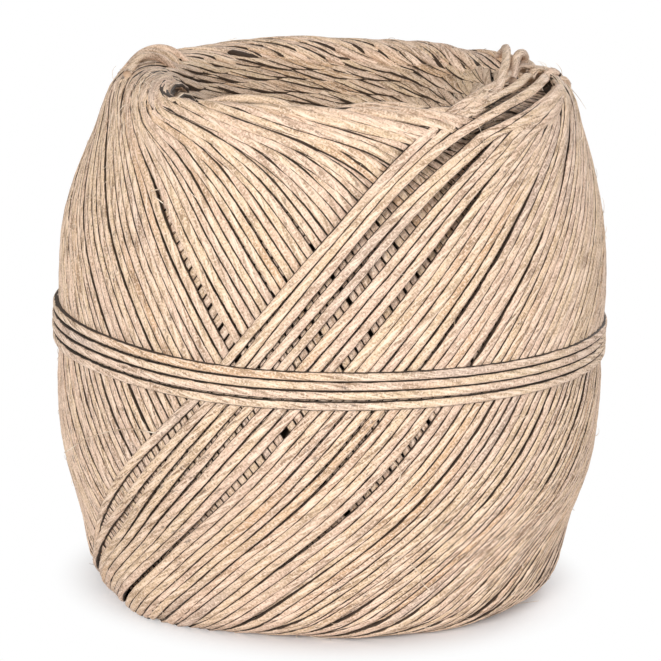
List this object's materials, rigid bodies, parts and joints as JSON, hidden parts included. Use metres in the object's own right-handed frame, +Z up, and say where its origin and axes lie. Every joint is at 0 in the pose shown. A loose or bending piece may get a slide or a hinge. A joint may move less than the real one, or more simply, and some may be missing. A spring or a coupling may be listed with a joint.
{
  "type": "cross-wound thread ball",
  "caption": "Hollow self-supporting ball of cross-wound waxed thread, closed by a few turns round its waist.",
  "frame": {"origin": "middle of the flat foot that the lowest turns make on the table", "axes": "+Z up along the ball's axis and the mandrel's hole; the picture looks along +Y, with +X to its right"},
  "size_m": [0.0602, 0.0602, 0.0559],
  "materials": {
    "inner_thread": "matte",
    "outer_thread": "satin",
    "band_thread": "satin"
  },
  "bodies": {
    "root": {"core_winding": "inner_thread", "outer_winding": "outer_thread", "waist_band": "band_thread"}
  },
  "joints": []
}
